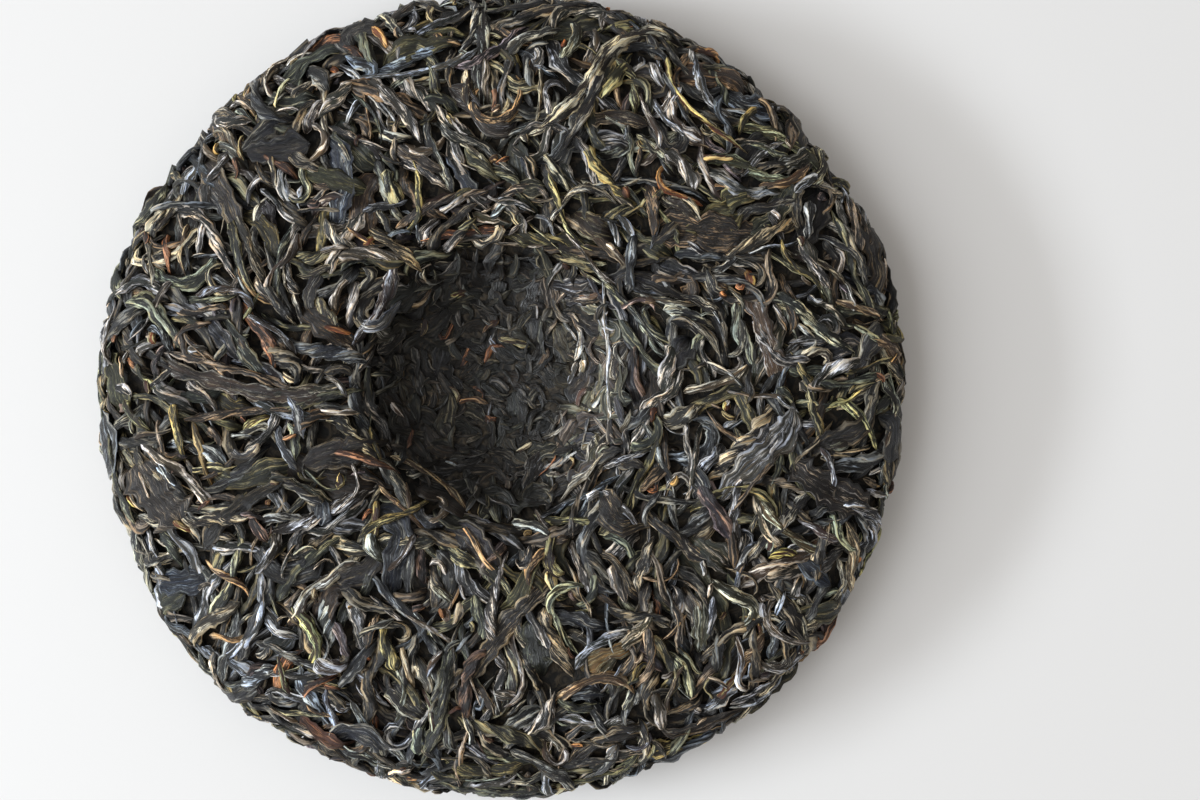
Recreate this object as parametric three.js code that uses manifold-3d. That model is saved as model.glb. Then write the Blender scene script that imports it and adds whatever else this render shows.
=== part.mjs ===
// Raw pu erh tea pressed into a round cake, lying with its dimple up.
// Millimetres, +Z up. The origin is the middle of the small flat that the cake rests on.
// The cake is one solid: a core a little smaller than the cake, with its largest leaves fused on.
import * as THREE from 'three';
import { mergeVertices } from 'three/addons/utils/BufferGeometryUtils.js';
import Module from 'manifold-3d';

const { clamp, lerp, smoothstep } = THREE.MathUtils;

// The whole cake
const CAKE_RADIUS = 100;
const CAKE_HEIGHT = 25;
const FLAT_RADIUS = 38;
const WIDEST_HEIGHT = 12.8;
const CREST_RADIUS = 58;
const MOUTH_RADIUS = 31;
const DIMPLE_FLOOR = 11.6;

// The dimple sits a little off the middle and is slightly longer than wide
const DIMPLE_SHIFT = new THREE.Vector2(0.3, 3.5);
const DIMPLE_STRETCH = 1.04;

// Slow swells of the outline: how many round the cake, how high, and the angle of a crest in degrees
const SWELLS = [[2, 0.35, 35], [5, 0.3, 300], [7, 0.25, 172]];

// Radius and height along the outside, from the edge of the resting flat up over the rim to the dimple
const OUTSIDE = [
  [FLAT_RADIUS, 0], [60, 1.2], [75, 3], [86, 5.2], [94, 7.8], [98.8, 10.4],
  [CAKE_RADIUS, WIDEST_HEIGHT], [98.9, 15.6], [95.5, 18.6], [90, 21.2], [82, 23.2], [72, 24.5],
  [CREST_RADIUS, CAKE_HEIGHT], [46, 24.9], [39.5, 24.4], [35, 23.2], [31.5, 20.8], [28.5, 17.6],
  [25, 14.6], [20.5, 12.6], [12, 11.8], [0, DIMPLE_FLOOR],
];
const OUTSIDE_STEPS = 200;

// The core: how far it lies below the leaves, and its number of sides
const CORE_DEPTH = 1;
const CORE_SIDES = 48;

// Fused leaves: the length of a facet, how deep the lower edges lie, and how narrow the tips are
const LEAF_STEP = 12;
const LEAF_SINK = 1.8;
const TIP_SHARE = 0.35;
const THICKNESS_SHARE = 0.45;
const THICKNESS_LIMITS = [1.1, 1.9];

// The smaller fused leaves, drawn at random: how many, how far apart, and where they lie
const SEED = 357;
const LOOSE_LEAVES = 57;
const LEAF_SPACING = 13;
const TRIES = 6000;
const LONGEST = 38;
const SHORTEST = 18;
const LARGEST_BEND = 0.5;
const UPPER_SHARE = 0.45;
const LOWER_SHARE = 0.3;
const RIM_HEIGHTS = [5, 19];
const FLAT_MARGIN = 10;

// Leaf places are given as an eye this high above the floor sees them, level with the rim
const EYE = new THREE.Vector3(24.3, -1.1, 425);

// The leaves that stand out: width, middle x and y, heading there in degrees, length, and how far
// the leaf turns over its first and its second half
const LARGE_LEAVES = [
  [8.7, 53.1, 40.5, 357, 30, -15, 35],
  [3.9, -66.0, 1.8, 347, 56, 20, 20],
  [10.7, -86.1, -24.8, 309, 19, 20, 5],
  [6.6, 65.2, -14.4, 36, 32, -20, 50],
  [3.6, 22.8, 79.8, 245, 56, 95, -55],
  [4.9, 1.3, -56.6, 231, 40, 10, 10],
  [7.3, 82.2, -23.7, 335, 24, 25, 5],
  [5.8, 53.6, 80.0, 351, 25, -20, -40],
  [5.1, 65.5, 14.7, 289, 27, 5, 5],
  [3.6, -15.1, -78.5, 256, 38, -15, -15],
  [5.8, -21.0, 87.0, 9, 20, -30, 0],
  [7.3, -55.3, 61.1, 9, 16, 15, 5],
  [4.9, 84.9, -9.8, 17, 24, -5, 55],
  [4.1, -65.6, -27.9, 35, 27, -30, -10],
  [3.4, 76.5, 18.3, 315, 28, -25, 20],
  [4.9, -42.6, 16.1, 329, 19, 20, -5],
  [3.9, -63.9, 10.9, 305, 23, 0, 5],
  [7.0, -78.9, -46.1, 3, 12, 5, 10],
  [4.6, -41.0, 53.6, 341, 19, -5, 0],
  [2.4, -72.4, 41.5, 296, 33, -110, 0],
  [5.8, -23.1, -76.5, 319, 14, 5, 5],
  [3.4, -26.1, 72.6, 314, 23, -25, -25],
  [3.4, 20.4, 70.7, 241, 23, -15, 0],
  [1.9, -68.3, 6.8, 346, 39, 0, -10],
  [3.2, 63.8, 39.0, 27, 22, 0, 0],
  [4.4, 49.3, -56.5, 270, 16, -5, -5],
  [4.1, 26.7, -63.8, 19, 17, -30, -5],
  [2.4, -79.4, -19.7, 323, 28, 5, -35],
  [3.4, -72.8, -55.9, 30, 19, -70, 0],
  [4.1, -44.1, -85.1, 332, 16, 25, 20],
  [3.4, 82.6, 6.3, 28, 19, -35, -25],
  [3.6, 52.8, -28.2, 302, 18, 10, -15],
  [2.2, -64.7, -3.8, 8, 29, 0, -15],
  [3.6, -32.0, 34.7, 354, 17, -20, -35],
  [4.1, 28.9, 69.1, 355, 15, -25, -20],
  [1.7, -22.2, 80.6, 8, 36, 10, 25],
  [2.4, -96.2, -20.6, 279, 25, -10, 20],
  [4.9, 72.4, -55.5, 303, 12, -10, -10],
  [3.2, 7.1, 89.1, 18, 19, -30, 5],
  [4.4, -69.5, 14.0, 308, 14, -5, -10],
  [2.2, 71.1, -34.0, 322, 27, 30, 20],
  [2.9, -26.7, 35.9, 320, 20, 5, -10],
  [2.4, -65.6, 35.0, 283, 24, -10, 25],
  [2.7, 10.6, 95.6, 14, 22, 0, -10],
  [2.7, -8.9, -71.8, 267, 21, 55, 5],
  [2.2, -62.7, 36.4, 291, 26, -5, 5],
  [4.9, 43.3, 30.6, 345, 12, 15, 10],
  [1.9, -0.9, 68.0, 14, 29, 165, 110],
  [1.9, 12.4, -53.8, 292, 29, 145, 25],
  [2.2, 22.5, -70.3, 20, 25, -30, -85],
  [4.1, -10.0, 55.2, 297, 13, 5, 15],
  [3.4, 73.1, 67.9, 299, 16, -25, -30],
  [3.2, -80.5, -9.7, 279, 16, -5, 0],
  [4.1, 74.1, 58.8, 33, 12, 30, 15],
  [4.1, -47.4, 25.4, 250, 12, 20, 45],
  [1.9, -15.8, -19.6, 325, 25, -15, -10],
  [4.4, 27.7, 63.7, 358, 11, -25, -40],
  [1.7, 38.6, 65.6, 299, 28, 15, -160],
  [5.6, 7.3, 50.9, 0, 8, 0, 0],
  [2.7, -60.4, 72.7, 302, 17, 60, 60],
  [3.6, 45.4, 56.5, 308, 13, -40, -25],
  [2.9, 37.4, 45.6, 277, 16, 5, -20],
  [2.4, 32.1, 33.7, 265, 19, 20, -5],
  [4.1, 77.4, -44.0, 321, 11, 15, 5],
];

const profile = [
  new THREE.Vector2(0, 0),
  ...new THREE.SplineCurve(OUTSIDE.map(([r, z]) => new THREE.Vector2(r, z))).getSpacedPoints(OUTSIDE_STEPS),
];
const widest = profile.reduce((best, p, i) => (p.x > profile[best].x ? i : best), 0);
const upperSide = profile.slice(widest).reverse();

// Height of the upper side of the cake, dimple included, at a radius
function topHeight(radius) {
  const i = upperSide.findIndex((p) => p.x >= radius);
  if (i < 0) return WIDEST_HEIGHT;
  if (i === 0) return upperSide[0].y;
  const [a, b] = [upperSide[i - 1], upperSide[i]];
  return lerp(a.y, b.y, (radius - a.x) / (b.x - a.x));
}

// The place on the outside nearest to a point, with the direction that faces out there
function nearestOutside(point) {
  const radius = Math.hypot(point.x, point.y);
  let best = 1;
  let bestDistance = Infinity;
  for (let i = 1; i < profile.length; i += 1) {
    const distance = Math.hypot(profile[i].x - radius, profile[i].y - point.z);
    if (distance < bestDistance) [best, bestDistance] = [i, distance];
  }
  const along = profile[Math.min(best + 1, profile.length - 1)].clone().sub(profile[best - 1]).normalize();
  const [cos, sin] = radius > 0 ? [point.x / radius, point.y / radius] : [1, 0];
  return {
    place: new THREE.Vector3(profile[best].x * cos, profile[best].x * sin, profile[best].y),
    out: new THREE.Vector3(along.y * cos, along.y * sin, -along.x),
  };
}

// Moves a vertex of the evenly round cake to where the real, slightly uneven one has it
function shiftFromRound(vertex) {
  const radius = Math.hypot(vertex.x, vertex.y);
  const angle = Math.atan2(vertex.y, vertex.x);
  const inDimple = (1 - smoothstep(radius, MOUTH_RADIUS, CREST_RADIUS)) * smoothstep(vertex.z, 4, 10);
  const nearRim = smoothstep(radius, CREST_RADIUS, CAKE_RADIUS);
  let swell = 0;
  for (const [count, height, crest] of SWELLS) {
    swell += height * Math.cos(count * (angle - THREE.MathUtils.degToRad(crest)));
  }
  const scale = 1 + (nearRim * swell) / CAKE_RADIUS;
  vertex.x = vertex.x * scale + inDimple * DIMPLE_SHIFT.x;
  vertex.y = vertex.y * scale * lerp(1, DIMPLE_STRETCH, inDimple) + inDimple * DIMPLE_SHIFT.y;
  vertex.z = Math.max(vertex.z, 0);
  return vertex;
}

// A closed geometry as a solid, after the shift from round
function solidFrom(wasm, geometry) {
  geometry.deleteAttribute('normal');
  geometry.deleteAttribute('uv');
  const merged = mergeVertices(geometry, 1e-4);
  const position = merged.getAttribute('position');
  const vertex = new THREE.Vector3();
  for (let i = 0; i < position.count; i += 1) {
    shiftFromRound(vertex.fromBufferAttribute(position, i));
    position.setXYZ(i, vertex.x, vertex.y, vertex.z);
  }
  const mesh = new wasm.Mesh({
    numProp: 3,
    vertProperties: new Float32Array(position.array),
    triVerts: new Uint32Array(merged.getIndex().array),
  });
  return new wasm.Manifold(mesh);
}

// The core: the outside moved in by the core's depth, except where the cake rests
function coreGeometry() {
  const points = [new THREE.Vector2(0, 0)];
  for (const [radius, height] of OUTSIDE) {
    const { place, out } = nearestOutside(new THREE.Vector3(radius, 0, height));
    const depth = height > 0 ? CORE_DEPTH : 0;
    points.push(new THREE.Vector2(Math.max(place.x - depth * out.x, 0), place.z - depth * out.z));
  }
  points[points.length - 1].x = 0;
  return new THREE.LatheGeometry(points, CORE_SIDES).rotateX(Math.PI / 2);
}

// A leaf along a route of places on the outside: a long low hump, widest in the middle, its lower edges in the core
function leafGeometry(route, width, thickness) {
  const section = [[-0.62, -LEAF_SINK], [-0.22, thickness], [0.22, thickness], [0.62, -LEAF_SINK]];
  const positions = [];
  const index = [];
  const last = route.length - 1;
  route.forEach(({ place, out }, i) => {
    const ahead = route[Math.min(i + 1, last)].place;
    const behind = route[Math.max(i - 1, 0)].place;
    const side = new THREE.Vector3().subVectors(ahead, behind).cross(out).normalize();
    const share = lerp(TIP_SHARE, 1, Math.sin((Math.PI * i) / last) ** 0.7);
    for (const [across, up] of section) {
      const height = up > 0 ? up * share - CORE_DEPTH : up;
      const point = place.clone().addScaledVector(side, across * width * share).addScaledVector(out, height);
      positions.push(point.x, point.y, point.z);
    }
  });
  const sides = section.length;
  for (let i = 0; i < last; i += 1) {
    for (let k = 0; k < sides; k += 1) {
      const [a, b] = [i * sides + k, i * sides + ((k + 1) % sides)];
      index.push(a, b, a + sides, b, b + sides, a + sides);
    }
  }
  for (let k = 1; k < sides - 1; k += 1) {
    index.push(0, k + 1, k);
    index.push(last * sides, last * sides + k, last * sides + k + 1);
  }
  const geometry = new THREE.BufferGeometry();
  geometry.setAttribute('position', new THREE.Float32BufferAttribute(positions, 3));
  geometry.setIndex(index);
  return geometry;
}

// A place seen from above, carried down to the upper side of the evenly round cake
function underEye(x, y) {
  const place = new THREE.Vector3(x, y, CAKE_HEIGHT);
  for (let pass = 0; pass < 3; pass += 1) {
    const radius = Math.hypot(place.x, place.y);
    place.z = topHeight(radius);
    const nearer = (EYE.z - place.z) / (EYE.z - WIDEST_HEIGHT);
    place.x = lerp(EYE.x, x, nearer);
    place.y = lerp(EYE.y, y, nearer) - DIMPLE_SHIFT.y * (1 - smoothstep(radius, MOUTH_RADIUS, CREST_RADIUS));
  }
  return nearestOutside(place);
}

// The route of a leaf that was seen from above: two arcs that meet in its middle
function seenRoute([x, y, heading, length, turnBefore, turnAfter]) {
  const half = clamp(Math.round(length / LEAF_STEP / 2 + 0.5), 1, 4);
  const stride = length / 2 / half;
  const walk = (turn, way) => {
    const spot = new THREE.Vector2(x, y);
    return Array.from({ length: half }, (_, i) => {
      const angle = THREE.MathUtils.degToRad(heading + (way * turn * (i + 0.5)) / half);
      spot.add(new THREE.Vector2(Math.cos(angle), Math.sin(angle)).multiplyScalar(way * stride));
      return underEye(spot.x, spot.y);
    });
  };
  return [...walk(turnBefore, -1).reverse(), underEye(x, y), ...walk(turnAfter, 1)];
}

// A repeatable draw of numbers from 0 to 1
function seededDraw(seed) {
  let state = seed;
  return () => {
    state = (state + 0x6d2b79f5) | 0;
    let t = Math.imul(state ^ (state >>> 15), 1 | state);
    t = (t + Math.imul(t ^ (t >>> 7), 61 | t)) ^ t;
    return ((t ^ (t >>> 14)) >>> 0) / 4294967296;
  };
}

// The route of a leaf that starts anywhere on the outside and bends evenly as it follows the surface
function bentRoute(draw, length) {
  const angle = 2 * Math.PI * draw();
  const where = draw();
  const onRim = where > UPPER_SHARE + LOWER_SHARE;
  const radius = onRim ? CAKE_RADIUS : CAKE_RADIUS * Math.sqrt(draw());
  const faceHeight = where < UPPER_SHARE ? CAKE_HEIGHT : 0;
  const height = onRim ? lerp(...RIM_HEIGHTS, draw()) : faceHeight;
  let { place, out } = nearestOutside(new THREE.Vector3(radius * Math.cos(angle), radius * Math.sin(angle), height));
  const heading = new THREE.Vector3(draw() - 0.5, draw() - 0.5, (draw() - 0.5) * 0.5);
  const bend = (draw() - 0.5) * LARGEST_BEND;
  const steps = clamp(Math.round(length / LEAF_STEP) + 1, 2, 5);
  const route = [{ place, out }];
  for (let i = 0; i < steps; i += 1) {
    heading.projectOnPlane(out).applyAxisAngle(out, bend).setLength(length / steps);
    ({ place, out } = nearestOutside(place.clone().add(heading)));
    route.push({ place, out });
  }
  return route;
}

const restsOnFlat = ({ place, out }) => out.z < 0 && Math.hypot(place.x, place.y) < FLAT_RADIUS + FLAT_MARGIN;
const middleOf = (route) => route[Math.floor(route.length / 2)].place;

// Every fused leaf: the large ones that are known, then others wherever there is room, the longest first
function allLeaves() {
  const leaves = LARGE_LEAVES.map(([width, ...course]) => ({ route: seenRoute(course), width }));
  const middles = leaves.map(({ route }) => middleOf(route));
  const draw = seededDraw(SEED);
  const wanted = leaves.length + LOOSE_LEAVES;
  for (let i = 0; i < TRIES && leaves.length < wanted; i += 1) {
    const done = (leaves.length - LARGE_LEAVES.length) / LOOSE_LEAVES;
    const length = lerp(LONGEST, SHORTEST, done) * lerp(0.85, 1.15, draw());
    const route = bentRoute(draw, length);
    const width = length * lerp(0.1, 0.17, draw());
    const middle = middleOf(route);
    if (route.some(restsOnFlat) || middles.some((m) => m.distanceTo(middle) < LEAF_SPACING)) continue;
    leaves.push({ route, width });
    middles.push(middle);
  }
  return leaves;
}

async function teaCake() {
  const wasm = await Module();
  wasm.setup();
  let cake = solidFrom(wasm, coreGeometry());
  for (const { route, width } of allLeaves()) {
    const thickness = clamp(width * THICKNESS_SHARE, ...THICKNESS_LIMITS);
    cake = cake.add(solidFrom(wasm, leafGeometry(route, width, thickness)));
  }
  // The largest closed skin is the cake; what is left are loose scraps and sealed hollows
  const skins = cake.decompose();
  cake = skins.reduce((best, skin) => (skin.volume() > best.volume() ? skin : best));
  const { vertProperties, triVerts } = cake.getMesh();
  const geometry = new THREE.BufferGeometry();
  geometry.setAttribute('position', new THREE.BufferAttribute(vertProperties, 3));
  geometry.setIndex(new THREE.BufferAttribute(triVerts, 1));
  geometry.computeVertexNormals();
  return geometry;
}

const tea = new THREE.MeshStandardMaterial({ color: 0x4a4642, roughness: 0.85, metalness: 0 });
const cake = new THREE.Mesh(await teaCake(), tea);
cake.name = 'tea_cake';

const model = new THREE.Group();
model.add(cake);

export default model;
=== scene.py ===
# A round pressed cake of raw pu erh tea, dimple up. Each leaf, bud and stem is a thin twisted solid of its
# own, laid on the ones below it. Shapes are worked out in millimetres and turned into metres in the meshes.
import math

import bpy
import numpy as np
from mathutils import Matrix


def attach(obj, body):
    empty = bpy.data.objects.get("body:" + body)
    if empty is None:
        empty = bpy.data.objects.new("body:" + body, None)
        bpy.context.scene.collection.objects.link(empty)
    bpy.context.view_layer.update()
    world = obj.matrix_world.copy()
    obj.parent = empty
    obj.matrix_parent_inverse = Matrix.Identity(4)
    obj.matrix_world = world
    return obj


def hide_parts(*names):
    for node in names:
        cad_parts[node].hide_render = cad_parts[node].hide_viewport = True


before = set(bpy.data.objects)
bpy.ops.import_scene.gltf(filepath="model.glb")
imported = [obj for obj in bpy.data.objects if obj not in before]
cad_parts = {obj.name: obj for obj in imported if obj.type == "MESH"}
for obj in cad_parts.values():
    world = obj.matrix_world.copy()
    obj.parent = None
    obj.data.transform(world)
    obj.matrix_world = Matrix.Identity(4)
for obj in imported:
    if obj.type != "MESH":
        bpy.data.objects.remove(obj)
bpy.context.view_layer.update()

MM = 0.001

# The whole cake, as in the CAD model
CAKE_RADIUS = 100
FARTHEST = 100.4
CAKE_HEIGHT = 25
FLAT_RADIUS = 38
WIDEST_HEIGHT = 12.8
CREST_RADIUS = 58
MOUTH_RADIUS = 31
DIMPLE_FLOOR = 11.6
DIMPLE_SHIFT = (0.3, 3.5)
DIMPLE_STRETCH = 1.04

# Slow swells of the outline: how many round the cake, how high, and the angle of a crest in degrees
SWELLS = ((2, 0.35, 35), (5, 0.3, 300), (7, 0.25, 172))

# Radius and height along the outside, from the edge of the resting flat up over the rim to the dimple
OUTSIDE = (
    (FLAT_RADIUS, 0), (60, 1.2), (75, 3), (86, 5.2), (94, 7.8), (98.8, 10.4),
    (CAKE_RADIUS, WIDEST_HEIGHT), (98.9, 15.6), (95.5, 18.6), (90, 21.2), (82, 23.2), (72, 24.5),
    (CREST_RADIUS, CAKE_HEIGHT), (46, 24.9), (39.5, 24.4), (35, 23.2), (31.5, 20.8), (28.5, 17.6),
    (25, 14.6), (20.5, 12.6), (12, 11.8), (0, DIMPLE_FLOOR),
)
OUTSIDE_STEP = 0.5

# The photograph's camera: its place, in millimetres, its lens and its film width
EYE = (24.3, -1.1, 425)
LENS = 50
FILM_WIDTH = 36

# How bright the room is towards the left and towards the right
ROOM_STRENGTHS = (0.68, 0.26)

# How leaves pile up: the height of a full pile, and how strongly a pile is pressed together
FULL_PILE = 4.6
PRESS = 6.0
CELL = 0.5
FLAT_SOFTNESS = 0.45

# A leaf is made only where more than this share of it lies less than this deep in the pile
SHOWING_SHARE = 0.3
SHOWING_DEPTH = 0.9

# Painted shade and painted light in the dimple: how bright the body and the ridges of a leaf are painted on the
# dimple's shaded floor and on its lit right wall, compared with leaves outside, how much of their own tint they
# lose there, and how much of their thickness
FLOOR_PAINTED_SHADE = (0.72, 0.16)
WALL_PAINTED_LIGHT = (6.2, 1.1)
PIT_GREYNESS = 0.5
PIT_GREY = (1.04, 1, 0.95)
PIT_FLATNESS = 0.7

# How high the pressed mass stands under the leaves of the dimple, and the radii between which it ends
PIT_BASE = 3.6
PIT_EDGE = (26, 32)

# The same for the underside
UNDER_BASE = 1.5
UNDER_EDGE = (78, 92)

# The palest a ridge may be, as a linear value, and a cool tint for the body of every leaf
PALEST = 0.9
BODY_TINT = (0.98, 1, 1.22)

# How much brighter the body of a broad leaf is, and how much duller its ridges are, as it lies open and flat
BROAD_SHADES = (1.7, 0.55)

# Tones: base and ridge colours as sRGB, and the share of unseen leaves that have the tone
TONES = {
    "green": ((46, 52, 42), (170, 170, 138), 0.26),
    "dark": ((35, 34, 35), (148, 142, 126), 0.25),
    "blue": ((37, 42, 48), (148, 155, 158), 0.15),
    "brown": ((51, 43, 36), (172, 153, 129), 0.15),
    "purple": ((46, 38, 43), (154, 137, 134), 0.035),
    "olive": ((64, 63, 36), (182, 174, 122), 0.07),
    "pale": ((90, 87, 73), (224, 217, 193), 0.05),
    "silver": ((96, 99, 98), (226, 227, 221), 0.005),
    "cream": ((128, 118, 94), (244, 235, 207), 0.01),
    "tan": ((94, 75, 54), (214, 189, 152), 0.02),
    "gold": ((98, 80, 44), (206, 181, 124), 0.005),
    "rust": ((84, 50, 34), (190, 136, 98), 0.01),
    "orange": ((134, 78, 44), (226, 158, 102), 0.0),
    "pink": ((98, 81, 75), (216, 194, 183), 0.005),
}

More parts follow.
